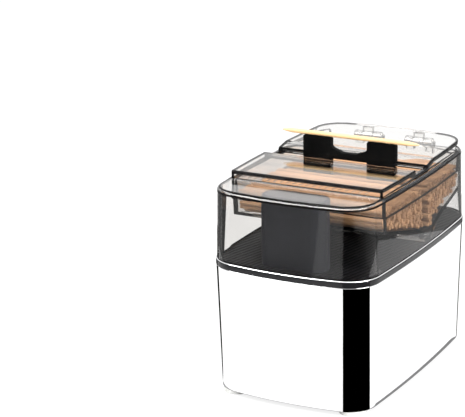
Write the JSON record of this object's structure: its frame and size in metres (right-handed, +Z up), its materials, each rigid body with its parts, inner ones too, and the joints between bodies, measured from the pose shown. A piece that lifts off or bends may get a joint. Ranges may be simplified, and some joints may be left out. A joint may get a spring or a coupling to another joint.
{
  "type": "toothpick dispenser",
  "caption": "Sensor-driven table dispenser for toothpicks: polished metal sleeve, clear cover with hinged lid, and a motor-driven fork that lifts a single toothpick through the lid.",
  "frame": {"origin": "on the table, under the middle of the case", "axes": "+X along the toothpick to the right, +Y from the sensor front to the lid hinge at the back, +Z up"},
  "size_m": [0.0772, 0.1174, 0.1025],
  "materials": {
    "polished_metal": "polished",
    "black_gloss": "high gloss",
    "deck_grey": "fine texture",
    "tower_charcoal": "satin",
    "window_black": "gloss",
    "smoky_clear": "clear",
    "toothpick_wood": "natural",
    "fork_black": "satin",
    "gear_nylon": "natural",
    "pinion_brass": "turned",
    "steel": "ground",
    "motor_steel": "plated",
    "armature_iron": "stacked sheet",
    "motor_white": "satin",
    "contact_metal": "nickel plated",
    "cell_wrap": "satin",
    "case_black": "fine texture",
    "plate_steel": "plain",
    "board_green": "solder mask",
    "part_black": "moulded",
    "diode_clear": "clear",
    "diode_dark": "gloss",
    "capacitor_blue": "sleeved",
    "foot_rubber": "matt",
    "knob_grey": "satin"
  },
  "bodies": {
    "base": {"base_screws": "steel", "batteries": "cell_wrap", "battery_contacts": "contact_metal", "battery_tray": "case_black", "board_screws": "steel", "bottom_plate": "case_black", "capacitors": "capacitor_blue", "clear_cover": "smoky_clear", "controller_chip": "part_black", "deck": "deck_grey", "gear_pins": "steel", "gearbox_back_plate": "plate_steel", "gearbox_front_plate": "plate_steel", "gearbox_screws": "steel", "hinge_pins": "steel", "hopper": "smoky_clear", "infrared_emitter": "diode_clear", "infrared_receiver": "diode_dark", "left_guide": "gear_nylon", "main_board": "board_green", "motor_can": "motor_steel", "motor_end_cap": "motor_white", "motor_screws": "steel", "motor_terminals": "contact_metal", "position_sensor": "part_black", "power_switch": "part_black", "right_guide": "gear_nylon", "rim_band": "black_gloss", "rubber_feet": "foot_rubber", "sensor_board": "board_green", "sensor_tower": "tower_charcoal", "sensor_window": "window_black", "sleeve": "polished_metal", "toothpick_stock": "toothpick_wood"},
    "lid_body": {"lid": "smoky_clear"},
    "lifter": {"lifter_fork": "fork_black", "presented_toothpick": "toothpick_wood"},
    "output_drive": {"output_shaft": "steel", "output_gear": "gear_nylon", "lift_pinion": "gear_nylon"},
    "second_stage": {"second_gear": "gear_nylon"},
    "first_stage": {"first_gear": "gear_nylon"},
    "rotor": {"motor_shaft": "steel", "motor_pinion": "pinion_brass", "motor_armature": "armature_iron"},
    "door": {"battery_door": "case_black"},
    "knob": {"switch_knob": "knob_grey"}
  },
  "joints": [
    {"name": "motor_spin", "type": "hinge", "parent": "base", "child": "rotor", "pos_m": [0.01843, 0.015, 0.02207], "axis": [0, 1, 0], "range_deg": [0, 11120]},
    {"name": "lifter_slide", "type": "slide", "parent": "base", "child": "lifter", "axis": [0, 0, 1], "range_m": [-0.0395, 0]},
    {"name": "output_spin", "type": "hinge", "parent": "base", "child": "output_drive", "pos_m": [0.02715, 0.015, 0.049], "axis": [0, 1, 0], "range_deg": [-413, 0]},
    {"name": "second_gear_spin", "type": "hinge", "parent": "base", "child": "second_stage", "pos_m": [0.0255, 0.015, 0.03914], "axis": [0, 1, 0], "range_deg": [0, 1236]},
    {"name": "first_gear_spin", "type": "hinge", "parent": "base", "child": "first_stage", "pos_m": [0.0255, 0.015, 0.02914], "axis": [0, 1, 0], "range_deg": [-3705, 0]},
    {"name": "lid_hinge", "type": "hinge", "parent": "base", "child": "lid_body", "pos_m": [0, 0.0536, 0.0885], "axis": [-1, 0, 0], "range_deg": [0, 70]},
    {"name": "battery_door_hinge", "type": "hinge", "parent": "base", "child": "door", "pos_m": [0, -0.0005, 0.0035], "axis": [1, 0, 0], "range_deg": [0, 85]},
    {"name": "switch_slide", "type": "slide", "parent": "base", "child": "knob", "axis": [1, 0, 0], "range_m": [0, 0.003]}
  ],
  "couplings": [
    {"joint": "output_spin", "follows": "lifter_slide", "rad_per_m": 181.82},
    {"joint": "second_gear_spin", "follows": "lifter_slide", "rad_per_m": -545.45},
    {"joint": "first_gear_spin", "follows": "lifter_slide", "rad_per_m": 1636.4},
    {"joint": "motor_spin", "follows": "lifter_slide", "rad_per_m": -4909.1}
  ]
}
